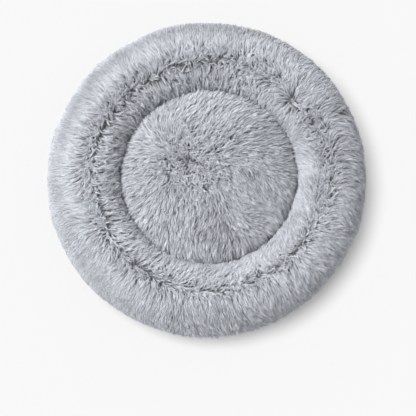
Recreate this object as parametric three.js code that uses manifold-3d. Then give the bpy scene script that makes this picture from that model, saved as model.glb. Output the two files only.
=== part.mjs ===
// A round plush pet bed: a stuffed ring-shaped rim round a sleeping cushion, in one zipped cover.
// Millimetres, +Z up, origin on the floor under the middle. +Y is the back, where the zip is.
//
// The cover is sewn from plush panels and a flat base. Two outer and two inner panels make the
// rim, and meet at its crest. Inside are two inserts, a ring and a pad, each a liner full of
// fibre. A zip under the rim's back lets them out. Its slider runs round the bed's own axis.

import * as THREE from "three";
import { mergeVertices } from "three/addons/utils/BufferGeometryUtils.js";
import Module from "manifold-3d";

const wasm = await Module();
wasm.setup();

// ---- driving dimensions ----
const OUTER_RADIUS = 300; // over the pile, at the rim's widest
const WELL_RADIUS = 158; // of the rim's innermost, below the cushion's edge
const RIM_HEIGHT = 155; // floor to the crest
const CUSHION_HEIGHT = 140; // floor to the middle of the cushion
const PLUSH = 12; // backing and pile, as they lie
const SEWN = 4; // the same, pressed flat at a seam
const SEAM_GAP = 0.4; // between pieces that are sewn together
const LINER = 1.2; // thickness of the inserts' cases
const FABRIC = 1.6; // thickness of the base cloth
const GRIP = 0.8; // height of the grip coating under it

// ---- the rim's section, an ellipse in the plane of radius and height ----
const FLOOR_GAP = 3; // between the rim's underside and the floor
const RIM_HALF_WIDTH = (OUTER_RADIUS - WELL_RADIUS) / 2;
const RIM_HALF_HEIGHT = (RIM_HEIGHT - FLOOR_GAP) / 2;
const RIM_RADIUS = WELL_RADIUS + RIM_HALF_WIDTH;
const RIM_CENTRE = FLOOR_GAP + RIM_HALF_HEIGHT;

// Places round that section, in degrees: 0 is the rim's outermost, 90 its top, 180 the well.
const BASE_SEAM = -70;
const CREST_SEAM = 100;
const CUSHION_SEAM = 154;
const TAPER = 26; // how far from a seam the plush gets back to its full thickness
const STEP = 15; // between the points of the cover's section
const INSERT_STEP = 30; // between those of the inserts

// ---- places round the bed, in degrees from +X, anticlockwise from above ----
const PANEL_JOINS = [40, 233]; // where the front panels meet the back ones
const ZIP_START = 60;
const ZIP_END = 150;
const LABEL_ANGLE = 205;

const SEGMENTS = 48; // steps round a full ring
const ZIP_SEGMENTS = 144; // finer, so that the slider follows the zip closely
const INSERT_GAP = 0.6; // between a cover and the insert inside it

const rad = THREE.MathUtils.degToRad;
const { smoothstep, lerp } = THREE.MathUtils;

// ---- solids ----

// A manifold-3d solid from a closed three.js geometry.
function solidOf(geometry) {
  const bare = geometry.clone();
  bare.deleteAttribute("normal");
  bare.deleteAttribute("uv");
  const merged = mergeVertices(bare, 1e-4);
  const index = merged.index.array;
  const corners = [];
  for (let i = 0; i < index.length; i += 3) {
    const [a, b, c] = index.slice(i, i + 3);
    if (a !== b && b !== c && c !== a) corners.push(a, b, c);
  }
  return new wasm.Manifold(
    new wasm.Mesh({
      numProp: 3,
      vertProperties: merged.attributes.position.array,
      triVerts: new Uint32Array(corners),
    }),
  );
}

function geometryOf(solid) {
  const mesh = solid.getMesh();
  const geometry = new THREE.BufferGeometry();
  geometry.setAttribute("position", new THREE.BufferAttribute(mesh.vertProperties, 3));
  geometry.setIndex(new THREE.BufferAttribute(mesh.triVerts, 1));
  geometry.computeVertexNormals();
  return geometry;
}

// A full ring or disc from an outline of [radius, height] points, anticlockwise in that plane.
function turned(outline, segments = SEGMENTS) {
  const onAxis = outline[0][0] === 0;
  const points = outline.map(([r, z]) => new THREE.Vector2(r, z));
  if (!onAxis) points.push(points[0].clone());
  return solidOf(new THREE.LatheGeometry(points, segments).rotateX(Math.PI / 2));
}

// The wedge of space between two angles round the bed.
function wedge(from, to) {
  const reach = 3 * OUTER_RADIUS;
  const sides = Math.ceil((to - from) / 60);
  const shape = new THREE.Shape();
  shape.moveTo(0, 0);
  for (let i = 0; i <= sides; i += 1) {
    const angle = rad(lerp(from, to, i / sides));
    shape.lineTo(reach * Math.cos(angle), reach * Math.sin(angle));
  }
  const depth = 2 * RIM_HEIGHT;
  const prism = new THREE.ExtrudeGeometry(shape, { depth, bevelEnabled: false });
  return solidOf(prism.translate(0, 0, -RIM_HEIGHT / 2));
}

// The part of a ring between two angles, less half a seam gap at each end.
function sector(ring, from, to, gap = SEAM_GAP) {
  const trim = THREE.MathUtils.radToDeg(gap / 2 / RIM_RADIUS);
  return ring.intersect(wedge(from + trim, to - trim));
}

function block(width, depth, height, x, y, z) {
  return solidOf(new THREE.BoxGeometry(width, depth, height).translate(x, y, z));
}

// A flat plate from a three.js shape, between two heights.
function plate(shape, low, high, curveSegments = 4) {
  const options = { depth: high - low, bevelEnabled: false, curveSegments };
  return solidOf(new THREE.ExtrudeGeometry(shape, options).translate(0, 0, low));
}

// ---- sections ----

// A point of the rim's section, so far inside its surface.
function rimPoint(angle, inset = 0) {
  return [
    RIM_RADIUS + (RIM_HALF_WIDTH - inset) * Math.cos(rad(angle)),
    RIM_CENTRE + (RIM_HALF_HEIGHT - inset) * Math.sin(rad(angle)),
  ];
}

// Points along the rim's section at every step between two angles, and at both of them.
// inset is a number, or a function of the angle.
function rimArc(from, to, inset = 0, step = STEP) {
  const depth = typeof inset === "function" ? inset : () => inset;
  const angles = [from];
  for (let angle = step * Math.ceil(from / step + 0.2); angle < to - 0.2 * step; angle += step) {
    angles.push(angle);
  }
  angles.push(to);
  return angles.map((angle) => rimPoint(angle, depth(angle)));
}

// The plush is thin at the seams along its lower edges, and full away from them.
const outerPlush = (angle) => lerp(SEWN, PLUSH, smoothstep(angle - BASE_SEAM, 0, TAPER));
const innerPlush = (angle) => lerp(SEWN, PLUSH, smoothstep(CUSHION_SEAM - angle, 0, TAPER));
const crestGap = THREE.MathUtils.radToDeg(SEAM_GAP / RIM_HALF_HEIGHT);

// The cushion's top is a flattened dome that rolls down to its seam. The pad under it is a
// little smaller.
const CUSHION_RADIUS = rimPoint(CUSHION_SEAM)[0] - 1;
const CUSHION_SEAM_Z = rimPoint(CUSHION_SEAM)[1] + 1;
const domeZ = (radius, drop) => {
  const rise = CUSHION_HEIGHT - CUSHION_SEAM_Z;
  const share = Math.min(radius / CUSHION_RADIUS, 1);
  return CUSHION_SEAM_Z - drop + rise * Math.sqrt(1 - share ** 2.6);
};
const DOME_RADII = [0, 0.3, 0.55, 0.75, 0.88, 0.96].map((share) => share * CUSHION_RADIUS);
const CUSHION_TAPER = 0.8 * CUSHION_RADIUS; // where its plush starts to thin towards the seam
const PAD_SHARE = 0.985;

// Where the ring insert leans on the pad, below the cushion seam.
const INSERT_FLOOR = GRIP + SEAM_GAP + FABRIC + SEAM_GAP;
const LEAN_TOP = 165;
const LEAN_LOW = 240;
const FOOT_RADIUS = rimPoint(BASE_SEAM)[0] - 10; // where the ring insert leaves the base
const PAD_FOOT = 3; // how far the pad spreads on the base, past where it leans

// ---- the cover ----

function outerPanelRing() {
  const outside = rimArc(BASE_SEAM, CREST_SEAM - crestGap);
  const inside = rimArc(BASE_SEAM, CREST_SEAM - crestGap, outerPlush).reverse();
  return turned([...outside, ...inside]);
}

function innerPanelRing() {
  const outside = rimArc(CREST_SEAM, CUSHION_SEAM);
  const inside = rimArc(CREST_SEAM, CUSHION_SEAM, innerPlush).reverse();
  return turned([...outside, ...inside]);
}

function cushionPanel() {
  const under = DOME_RADII.map((r) => {
    const thick = lerp(PLUSH, SEWN, smoothstep(r, CUSHION_TAPER, CUSHION_RADIUS));
    return [r, domeZ(r, thick)];
  });
  const rim = [CUSHION_RADIUS, CUSHION_SEAM_Z - SEWN / 2];
  const over = DOME_RADII.map((r) => [r, domeZ(r, 0)]).reverse();
  return turned([...under, rim, ...over]);
}

const HEM = 4.5; // from the base cloth's edge to the plush above it
const GRIP_MARGIN = 12; // of bare cloth round the grip coating
const BASE_EDGE = rimPoint(BASE_SEAM)[0] - HEM;
const BASE_TOP = GRIP + SEAM_GAP + FABRIC;

function basePanel() {
  const low = BASE_TOP - FABRIC;
  return turned([[0, low], [BASE_EDGE, low], [BASE_EDGE, BASE_TOP], [0, BASE_TOP]]);
}

// The coating of small grip dots under the base cloth, as one thin layer.
function gripLayer() {
  const radius = BASE_EDGE - GRIP_MARGIN;
  return turned([[0, 0], [radius, 0], [radius, GRIP], [0, GRIP]]);
}

// A folded tape that binds the base cloth's edge to the plush.
const BINDING = { radius: BASE_EDGE + 2.8, z: 4.2, halfWidth: 2.3, halfHeight: 2.6 };

function bindingRing() {
  const sides = 6;
  const outline = Array.from({ length: sides }, (_, i) => {
    const turn = (2 * Math.PI * (i + 0.5)) / sides;
    return [
      BINDING.radius + BINDING.halfWidth * Math.cos(turn),
      BINDING.z + BINDING.halfHeight * Math.sin(turn),
    ];
  });
  return turned(outline);
}

// A blank satin label, caught in the base seam and lying under the rim's overhang. Its line is
// how far out from the binding it is, and how high.
const LABEL = { width: 24, thick: 0.6, line: [[0, 4.6], [11, 2.4], [22, 1.4], [31, 1.2]] };

function careLabel() {
  const start = BINDING.radius + BINDING.halfWidth + SEAM_GAP;
  const under = LABEL.line.map(([out, z]) => [start + out, z]);
  const over = LABEL.line.map(([out, z]) => [start + out, z + LABEL.thick]).reverse();
  const shape = new THREE.Shape([...under, ...over].map(([r, z]) => new THREE.Vector2(r, z)));
  const strip = new THREE.ExtrudeGeometry(shape, { depth: LABEL.width, bevelEnabled: false });
  strip.translate(0, 0, -LABEL.width / 2).rotateX(Math.PI / 2);
  return solidOf(strip.rotateZ(rad(LABEL_ANGLE)));
}

// ---- the inserts ----

// The ring insert's outline, so far inside its case's outer face.
function ringInsertOutline(inset) {
  const gap = INSERT_GAP + inset;
  const outer = rimArc(-60, 90, PLUSH + gap, INSERT_STEP);
  const inner = rimArc(105, LEAN_TOP - STEP, (angle) => innerPlush(angle) + gap, INSERT_STEP);
  const lean = rimArc(LEAN_TOP, LEAN_LOW, gap, INSERT_STEP);
  const foot = INSERT_FLOOR + inset;
  const flat = [[rimPoint(LEAN_LOW + 8, gap)[0], foot], [FOOT_RADIUS - inset, foot]];
  return [...outer, ...inner, ...lean, ...flat];
}

// The pad insert's outline from the axis out and back to the axis.
function padInsertOutline(inset) {
  const gap = INSERT_GAP + inset;
  const lean = rimArc(LEAN_TOP, LEAN_LOW, -gap, INSERT_STEP).reverse();
  const top = DOME_RADII.map((r) => [r * PAD_SHARE, domeZ(r, PLUSH + gap)]).reverse();
  const foot = INSERT_FLOOR + inset;
  const edge = rimPoint(LEAN_LOW, -gap)[0] + PAD_FOOT - inset;
  return [[0, foot], [edge, foot], ...lean, ...top];
}

// A case is its outer form less its inner one, with the slit that it was filled through.
const SLIT = { width: 6, length: 60, height: 12 };

function insertCase(outline, slitRadius) {
  const outer = turned(outline(0));
  const inner = turned(outline(LINER));
  const slit = block(SLIT.width, SLIT.length, SLIT.height, slitRadius, 0, INSERT_FLOOR);
  const turn = rad((ZIP_START + ZIP_END) / 2);
  const placed = slit.transform(new THREE.Matrix4().makeRotationZ(turn).toArray());
  return outer.subtract(inner).subtract(placed);
}

// ---- the zip ----

// Its middle in the plane of radius and height, and the slope that it lies on.
const ZIP_DEPTH = 5; // below the pile's surface
const ZIP_LOW = rimPoint(BASE_SEAM, ZIP_DEPTH);
const ZIP_HIGH = rimPoint(-48, ZIP_DEPTH);
const zipLine = new THREE.Vector2(ZIP_HIGH[0] - ZIP_LOW[0], ZIP_HIGH[1] - ZIP_LOW[1]);
const HALF_TAPE = zipLine.length() / 2;
const along = zipLine.clone().normalize();
const outward = new THREE.Vector2(along.y, -along.x);
const ZIP_MIDDLE = [(ZIP_LOW[0] + ZIP_HIGH[0]) / 2, (ZIP_LOW[1] + ZIP_HIGH[1]) / 2];
const TAPE = 1; // thickness
const COIL = { near: 0.8, far: 3.4, half: 1.2 };
const TAPE_EDGE = COIL.far + 0.3;
const TUCK = 8; // tape hidden behind the plush hem
const TUCK_IN = 2.5; // and how far it bends in there
const SLIDER = { length: 12, width: 9.6, plate: 1.2, room: 1.5 };
const STOP = { length: 3.4, proud: 0.6 }; // how far it stands past the chain
const ZIP_ROOM = 1.5; // degrees from the zip's ends to the plush
const CHAIN_INSET = 1.2; // degrees of bare tape before each end of the chain
const perDegree = rad(1) * ZIP_MIDDLE[0];
const SLIDER_REST = ZIP_END - CHAIN_INSET - (SLIDER.length / 2 + 1) / perDegree;

// A point of the zip's section: so far up its slope, and so far out from its middle plane.
function zipPoint(up, out) {
  return [
    ZIP_MIDDLE[0] + along.x * up + outward.x * out,
    ZIP_MIDDLE[1] + along.y * up + outward.y * out,
  ];
}

function zipStrip(points, from = ZIP_START, to = ZIP_END) {
  return sector(turned(points, ZIP_SEGMENTS), from, to, 0);
}

// It bends in behind the hem of the plush.
function upperTape() {
  const half = TAPE / 2;
  const end = HALF_TAPE + TUCK;
  return zipStrip([
    zipPoint(TAPE_EDGE, half),
    zipPoint(HALF_TAPE, half),
    zipPoint(end, half - TUCK_IN),
    zipPoint(end, -half - TUCK_IN),
    zipPoint(HALF_TAPE, -half),
    zipPoint(TAPE_EDGE, -half),
  ]);
}

// It turns down at its foot, to the binding that it is sewn to.
function lowerTape() {
  const half = TAPE / 2;
  const foot = BINDING.z + BINDING.halfHeight + SEAM_GAP;
  return zipStrip([
    zipPoint(-TAPE_EDGE, -half),
    zipPoint(-HALF_TAPE - half, -half),
    [BINDING.radius - half, foot],
    [BINDING.radius + half, foot],
    zipPoint(-HALF_TAPE + half, half),
    zipPoint(-TAPE_EDGE, half),
  ]);
}

// One side of the closed chain. side is 1 above the slider's post and -1 below it.
function coil(side) {
  const { near, far, half } = COIL;
  const cut = half / 2;
  const outline = [
    [near, cut], [near, -cut], [near + cut, -half], [far - cut, -half],
    [far, -cut], [far, cut], [far - cut, half], [near + cut, half],
  ].map(([up, out]) => zipPoint(side * up, out));
  const facing = side > 0 ? outline.reverse() : outline;
  return zipStrip(facing, ZIP_START + CHAIN_INSET, ZIP_END - CHAIN_INSET);
}

// Turns the zip's own directions (travel, slope, outward) at one angle into the bed's.
function zipPlace(angle) {
  const c = Math.cos(rad(angle));
  const s = Math.sin(rad(angle));
  const place = new THREE.Matrix4().makeBasis(
    new THREE.Vector3(-s, c, 0),
    new THREE.Vector3(along.x * c, along.x * s, along.y),
    new THREE.Vector3(outward.x * c, outward.x * s, outward.y),
  );
  return place.setPosition(ZIP_MIDDLE[0] * c, ZIP_MIDDLE[0] * s, ZIP_MIDDLE[1]);
}

// A stop is crimped across both tapes at an end of the chain.
function zipStop() {
  return block(STOP.length, 2 * COIL.far, 2 * (COIL.half + STOP.proud), 0, 0, 0);
}

// The slider's outline from above: broad shoulders at the front, narrower at the back.
function sliderShape() {
  const front = SLIDER.length / 2;
  const wide = SLIDER.width / 2;
  const narrow = wide - 0.8;
  const shape = new THREE.Shape();
  shape.moveTo(-front + 1, -narrow);
  shape.quadraticCurveTo(0, -wide, front - 2, -wide);
  shape.quadraticCurveTo(front, -wide, front, -wide + 2.4);
  shape.quadraticCurveTo(front - 1.4, 0, front, wide - 2.4);
  shape.quadraticCurveTo(front, wide, front - 2, wide);
  shape.quadraticCurveTo(0, wide, -front + 1, narrow);
  shape.quadraticCurveTo(-front - 0.8, 0, -front + 1, -narrow);
  return shape;
}

const BAIL = { half: 3.4, width: 1.6, slot: 2.3, rise: 3.1, bar: 1.2 };

function zipSlider() {
  const { room, plate: thick, length, width } = SLIDER;
  const face = room + thick;
  const slot = TAPE / 2 + 0.4;
  const flange = 0.7;
  const body = plate(sliderShape(), -face, face);
  const coilRoom = block(2 * length, width - 2 * flange - 0.8, 2 * room, 0, 0, 0);
  const tapeRoom = block(2 * length, 2 * width, 2 * slot, 0, 0, 0);
  const post = block(2.2, 1, 2 * face - thick, length / 2 - 3.2, 0, 0);
  const arch = block(2 * BAIL.half, BAIL.width, BAIL.rise, 0, 0, face + BAIL.rise / 2 - 0.05);
  const eye = block(2 * BAIL.slot, 2 * BAIL.width, 2 * (BAIL.rise - BAIL.bar), 0, 0, face);
  return body.subtract(coilRoom).subtract(tapeRoom).add(post).add(arch.subtract(eye));
}

// The pull hangs from a bar that passes under the slider's bail, and turns on it.
const PULL = { length: 16, bar: 0.6, eye: 5.2, halfEye: 1.3, arm: 1.2, thick: 1.2 };
const PIVOT_OUT = SLIDER.room + SLIDER.plate + (BAIL.rise - BAIL.bar) / 2;

function zipPull() {
  const half = PULL.halfEye + PULL.arm;
  const wide = half + 1;
  const shape = new THREE.Shape();
  shape.moveTo(-half, -PULL.bar);
  shape.lineTo(half, -PULL.bar);
  shape.lineTo(wide, PULL.length - 3);
  shape.quadraticCurveTo(wide, PULL.length, wide - 2.4, PULL.length);
  shape.lineTo(-wide + 2.4, PULL.length);
  shape.quadraticCurveTo(-wide, PULL.length, -wide, PULL.length - 3);
  const eye = new THREE.Path();
  eye.moveTo(-PULL.halfEye, PULL.bar);
  eye.lineTo(-PULL.halfEye, PULL.eye);
  eye.lineTo(PULL.halfEye, PULL.eye);
  eye.lineTo(PULL.halfEye, PULL.bar);
  shape.holes.push(eye);
  // Drawn with its length up, then turned so that length runs outward and width up the slope.
  const flat = plate(shape, -PULL.thick / 2, PULL.thick / 2);
  const lay = new THREE.Matrix4().makeBasis(
    new THREE.Vector3(0, 1, 0),
    new THREE.Vector3(0, 0, 1),
    new THREE.Vector3(1, 0, 0),
  );
  return flat.transform(lay.setPosition(0, 0, PIVOT_OUT).toArray());
}

// The hollow under the back of the rim that the zip lies in, with room behind the plush hem.
function zipPocket() {
  const low = -HALF_TAPE - 5;
  const hem = HALF_TAPE - SEAM_GAP;
  const high = HALF_TAPE + TUCK + 1;
  const hemBack = TAPE / 2 + SEAM_GAP;
  const open = PLUSH;
  const ring = turned([
    zipPoint(low, open),
    zipPoint(hem, open),
    zipPoint(hem, hemBack),
    zipPoint(high, hemBack - TUCK_IN),
    zipPoint(high, -open),
    zipPoint(low, -open),
  ], ZIP_SEGMENTS);
  return sector(ring, ZIP_START - ZIP_ROOM, ZIP_END + ZIP_ROOM, 0);
}

// ---- finishes ----
const plushCloth = { color: 0xb4b8c0, roughness: 0.95, metalness: 0 };
const baseCloth = { color: 0x5c5f66, roughness: 0.85, metalness: 0 };
const gripCoat = { color: 0x3a3c40, roughness: 0.6, metalness: 0 };
const tapeCloth = { color: 0x8f939b, roughness: 0.85, metalness: 0 };
const linerCloth = { color: 0xe9e9e6, roughness: 0.9, metalness: 0 };
const fibre = { color: 0xf6f5f1, roughness: 1, metalness: 0 };
const nylon = { color: 0x858991, roughness: 0.45, metalness: 0 };
const castMetal = { color: 0x9a9ca1, roughness: 0.35, metalness: 0.9 };
const satin = { color: 0xf2f2f0, roughness: 0.5, metalness: 0 };

const bed = new THREE.Group();

function add(name, solid, finish, parent = bed) {
  const mesh = new THREE.Mesh(geometryOf(solid), new THREE.MeshStandardMaterial(finish));
  mesh.name = name;
  parent.add(mesh);
  return mesh;
}

function addCover() {
  const [right, left] = PANEL_JOINS;
  const outer = outerPanelRing();
  const inner = innerPanelRing();
  add("rim_outer_panel_front", sector(outer, left, right + 360), plushCloth);
  add("rim_outer_panel_back", sector(outer, right, left).subtract(zipPocket()), plushCloth);
  add("rim_inner_panel_front", sector(inner, left, right + 360), plushCloth);
  add("rim_inner_panel_back", sector(inner, right, left), plushCloth);
  add("cushion_top_panel", cushionPanel(), plushCloth);
  add("base_panel", basePanel(), baseCloth);
  add("base_grip_coating", gripLayer(), gripCoat);
  add("base_seam_binding", bindingRing(), tapeCloth);
  add("care_label", careLabel(), satin);
}

function addInserts() {
  add("rim_insert_case", insertCase(ringInsertOutline, RIM_RADIUS), linerCloth);
  add("rim_insert_filling", turned(ringInsertOutline(LINER + SEAM_GAP)), fibre);
  add("pad_insert_case", insertCase(padInsertOutline, WELL_RADIUS * 0.7), linerCloth);
  add("pad_insert_filling", turned(padInsertOutline(LINER + SEAM_GAP)), fibre);
}

function addZip() {
  add("zip_tape_upper", upperTape(), tapeCloth);
  add("zip_tape_lower", lowerTape(), tapeCloth);
  add("zip_coil_upper", coil(1), nylon);
  add("zip_coil_lower", coil(-1), nylon);
  const stopInset = CHAIN_INSET - (STOP.length / 2 + SEAM_GAP) / perDegree;
  const closedEnd = new THREE.Group();
  closedEnd.applyMatrix4(zipPlace(ZIP_END - stopInset));
  const openEnd = new THREE.Group();
  openEnd.applyMatrix4(zipPlace(ZIP_START + stopInset));
  const slider = new THREE.Group();
  slider.applyMatrix4(zipPlace(SLIDER_REST));
  bed.add(closedEnd, openEnd, slider);
  add("zip_top_stop", zipStop(), castMetal, closedEnd);
  add("zip_bottom_stop", zipStop(), castMetal, openEnd);
  add("zip_slider", zipSlider(), castMetal, slider);
  add("zip_pull", zipPull(), castMetal, slider);
}

addCover();
addInserts();
addZip();

export default bed;
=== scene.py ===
import math

import bmesh
import bpy
import numpy as np
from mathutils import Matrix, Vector
from mathutils.kdtree import KDTree


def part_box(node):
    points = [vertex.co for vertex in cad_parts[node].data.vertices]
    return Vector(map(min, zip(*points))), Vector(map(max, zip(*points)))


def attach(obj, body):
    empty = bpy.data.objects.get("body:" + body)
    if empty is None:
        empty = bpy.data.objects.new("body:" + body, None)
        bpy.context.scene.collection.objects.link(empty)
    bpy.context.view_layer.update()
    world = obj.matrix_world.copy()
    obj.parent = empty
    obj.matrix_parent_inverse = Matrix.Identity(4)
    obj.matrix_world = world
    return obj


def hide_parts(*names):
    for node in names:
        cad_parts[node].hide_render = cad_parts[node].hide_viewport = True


# Looks for the pet bed: long combed plush over stuffed forms, and a plain zipped underside.
# Metres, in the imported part's frame. The pile is real geometry: tufts of tapered ribbons that
# grow from simulated cloth forms. Angles round the bed are in degrees from +X, anticlockwise.

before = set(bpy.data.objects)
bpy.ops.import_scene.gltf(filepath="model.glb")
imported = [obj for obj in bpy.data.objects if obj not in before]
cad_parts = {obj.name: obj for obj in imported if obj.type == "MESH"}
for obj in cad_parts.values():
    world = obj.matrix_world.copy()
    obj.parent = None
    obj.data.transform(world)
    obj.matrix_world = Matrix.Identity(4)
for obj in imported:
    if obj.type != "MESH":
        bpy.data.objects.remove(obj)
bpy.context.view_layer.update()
MM = 0.001

# ---- sizes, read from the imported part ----
OUTER_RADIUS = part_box("rim_outer_panel_front")[1].x
RIM_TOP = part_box("rim_outer_panel_front")[1].z
BASE_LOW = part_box("base_panel")[0].z
BASE_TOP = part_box("base_panel")[1].z
BASE_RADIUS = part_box("base_panel")[1].x
CUSHION_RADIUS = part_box("cushion_top_panel")[1].x
CUSHION_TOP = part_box("cushion_top_panel")[1].z
WELL_RADIUS = 158 * MM  # of the rim's innermost, below the cushion's edge
FLOOR_GAP = 3 * MM  # under the rim
RIM_HALF_WIDTH = (OUTER_RADIUS - WELL_RADIUS) / 2
RIM_HALF_HEIGHT = (RIM_TOP - FLOOR_GAP) / 2
RIM_RADIUS = OUTER_RADIUS - RIM_HALF_WIDTH
RIM_CENTRE = FLOOR_GAP + RIM_HALF_HEIGHT
CLOTH_LOW = BASE_TOP + 1 * MM  # of the rim and the cushion, where they stand on the base
CREASE_HEIGHT = CUSHION_TOP - 38 * MM  # of the crease round the cushion

# ---- the pile ----
PILE = 11 * MM  # how thick it lies on the rim and the cushion
HAIR = 26 * MM  # how long it is
HAIR_WIDTH = 0.68 * MM  # of one ribbon, which stands for a few fibres
HAIR_POINTS = 5  # along one ribbon
TUFT_SPACING = 2.25 * MM
TUFT_HAIRS = 6
TUFT_RADIUS = 1.4 * MM
LOCK_SPACING = 3.0 * MM  # tufts lie together in locks, about this far apart
PIECE_HAIRS = 27000  # the most in one mesh
RIBBON_UV = 0.002  # half of a ribbon's width in its UVs
ABOVE_FLOOR = 0.6 * MM  # the least height of a hair
RAGGED = 4 * MM  # how unevenly the pile parts along the crest
OUTER_RUN = 225 * MM  # of the pile on the rim's outside, from the crest seam
INNER_RUN = 88 * MM  # of the pile on the well's wall, from the crest seam
CUSHION_DROP = 58 * MM  # how far below the cushion's top its pile goes
# How much the tone differs from lock to lock, from tuft to tuft, and from hair to hair.
LOCK_TONES = 0.06
TUFT_TONES = 0.2
HAIR_TONES = 0.19

# Places on the rim's section, in degrees from its outermost point, as in the CAD.
BASE_SEAM = -70
CREST_SEAM = 100
# Each panel join: how strongly the pile spreads from it, and how far it draws the crest inward.
PANEL_JOINS = {40: (0.7, 17 * MM), 233: (0.35, 0)}
ZIP_ARC = (60, 150)
ZIP_CENTRE = sum(ZIP_ARC) / 2
ZIP_REACH = (ZIP_ARC[1] - ZIP_ARC[0]) / 2
ZIP_SECTION = (BASE_SEAM, -48)
ZIP_DEPTH = 5 * MM  # of its plane below the pile's surface

FOLD_ANGLE = 24.5  # of a short fold in the pile, round the bed
FOLD_PLACE = 44  # degrees out from the crest
JOIN_SPREAD = 22 * MM  # how far from a panel join its pile spreads like a star

WELL_SHIFT = np.array([4.5, -2.5, 0]) * MM  # the stuffing pushes the well a little off centre
WHORL = np.array([-30, 19]) * MM  # where the cushion's pile spreads from
WHORL_WILD = 32 * MM  # from the whorl, all of the pile is wild this far
WHORL_END = 80 * MM  # and none of it past this
CUSHION_SHADE_WAY = np.array([0.95, -0.3])  # the way that the cushion's painted shade deepens, away from the light

rng = np.random.default_rng(7)


# ---- numbers in bulk ----

def unit(v):
    return v / np.maximum(np.linalg.norm(v, axis=-1, keepdims=True), 1e-12)


def smooth(x, low, high):
    """0 below low, 1 above high, and a smooth step between."""
    t = np.clip((x - low) / (high - low), 0, 1)
    return t * t * (3 - 2 * t)


def ripple(points, wavelength, seed, waves=9):
    """A smooth random value of about -2 to 2 at each point, that varies over wavelength."""
    chance = np.random.default_rng(seed)
    heading = unit(chance.normal(size=(waves, 3)))
    rate = 2 * np.pi / (wavelength * chance.uniform(0.7, 1.5, waves))
    phase = chance.uniform(0, 2 * np.pi, waves)
    total = sum(np.sin(points @ (heading[i] * rate[i]) + phase[i]) for i in range(waves))
    return total * math.sqrt(2 / waves)


def bump(distance, width):
    return np.exp(-0.5 * (distance / width) ** 2)


# ---- soft forms: grids of points, with columns round the bed and rows along the section ----

COLUMNS = 240
ROW_STEP = 5.5 * MM


def even_rows(profile, closed):
    """The points of a [radius, height] line at about every ROW_STEP of its length."""
    line = np.array(profile + profile[:1] if closed else profile, float)
    length = np.concatenate([[0], np.cumsum(np.linalg.norm(np.diff(line, axis=0), axis=1))])
    count = max(8, round(length[-1] / ROW_STEP))
    at = np.linspace(0, length[-1], count + 1)
    rows = np.stack([np.interp(at, length, line[:, i]) for i in range(2)], axis=1)
    return (rows[:-1] if closed else rows), length[-1] / count


class Form:
    """A stuffed form turned round the bed's axis, then changed point by point."""

    def __init__(self, profile, closed):
        rows, self.step = even_rows(profile, closed)
        self.closed = closed
        turn = np.linspace(0, 2 * np.pi, COLUMNS, endpoint=False)[:, None]
        radius, height = rows[None, :, 0], rows[None, :, 1]
        x, y = radius * np.cos(turn), radius * np.sin(turn)
        self.points = np.stack([x, y, np.broadcast_to(height, x.shape)], axis=2)
        self.find_normals()

    def find_normals(self):
        across = np.roll(self.points, -1, 0) - np.roll(self.points, 1, 0)
        if self.closed:
            along = np.roll(self.points, -1, 1) - np.roll(self.points, 1, 1)
        else:
            along = np.gradient(self.points, axis=1)
        self.normals = unit(np.cross(across, along))
        if not self.closed:
            self.normals = -self.normals
            self.normals[:, 0] = self.normals[:, 1].mean(0)

    def push(self, amount):
        """Moves each point outward by its own amount."""
        self.points = self.points + self.normals * amount[..., None]
        self.find_normals()

    def look(self, values, turn, row):
        """values of the grid at places between its points. turn is in radians."""
        i = np.mod(turn / (2 * np.pi), 1) * COLUMNS
        rows = self.points.shape[1]
        j = np.mod(row, rows) if self.closed else np.clip(row, 0, rows - 1.001)
        i0, j0 = i.astype(int) % COLUMNS, j.astype(int)
        i1 = (i0 + 1) % COLUMNS
        j1 = (j0 + 1) % rows
        a, b = (i - np.floor(i))[..., None], (j - j0)[..., None]
        low = values[i0, j0] * (1 - a) + values[i1, j0] * a
        high = values[i0, j1] * (1 - a) + values[i1, j1] * a
        return low * (1 - b) + high * b

    def faces(self):
        columns, rows = self.points.shape[:2]
        last = rows if self.closed else rows - 1
        i, j = np.meshgrid(np.arange(columns), np.arange(last), indexing="ij")
        near, far = i * rows, (i + 1) % columns * rows
        up = (j + 1) % rows
        corners = [near + j, far + j, far + up, near + up]
        return np.stack(corners if self.closed else corners[::-1], axis=2).reshape(-1, 4)


def mesh_object(name, verts, faces, uv=None):
    """A smooth mesh from arrays. uv has a row to each corner, in the layer called "cloth"."""
    mesh = bpy.data.meshes.new(name)
    mesh.from_pydata(np.asarray(verts).tolist(), [], faces)
    mesh.polygons.foreach_set("use_smooth", [True] * len(mesh.polygons))
    if uv is not None:
        layer = mesh.uv_layers.new(name="cloth")
        layer.data.foreach_set("uv", np.asarray(uv, float).reshape(-1))
    obj = bpy.data.objects.new(name, mesh)
    bpy.context.scene.collection.objects.link(obj)
    return obj


def form_mesh(form, name, inset=0.0):
    """A closed mesh of a form, so far inside it."""
    points = form.points - form.normals * inset
    obj = mesh_object(name, points.reshape(-1, 3), form.faces().tolist())
    if not form.closed:
        weld_poles(obj.data)
    return obj


def weld_poles(mesh):
    """Joins the points that meet on the axis at the two ends of an open form."""
    work = bmesh.new()
    work.from_mesh(mesh)
    bmesh.ops.remove_doubles(work, verts=work.verts, dist=0.01 * MM)
    work.to_mesh(mesh)
    work.free()


def section_angle(points):
    """Where points are on the rim's section, in degrees from its outermost point."""
    radius = np.hypot(points[..., 0], points[..., 1])
    high = (points[..., 2] - RIM_CENTRE) / RIM_HALF_HEIGHT
    return np.degrees(np.arctan2(high, (radius - RIM_RADIUS) / RIM_HALF_WIDTH)) % 360


def around(angle, centre):
    """How far an angle round the bed is from another, in degrees, signed."""
    return (angle - centre + 180) % 360 - 180


def zone(angle, centre, half, fade):
    """1 within half of a centre, and 0 further than that and fade together, in degrees."""
    return smooth(-np.abs(around(angle, centre)), -half - fade, -half)


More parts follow.
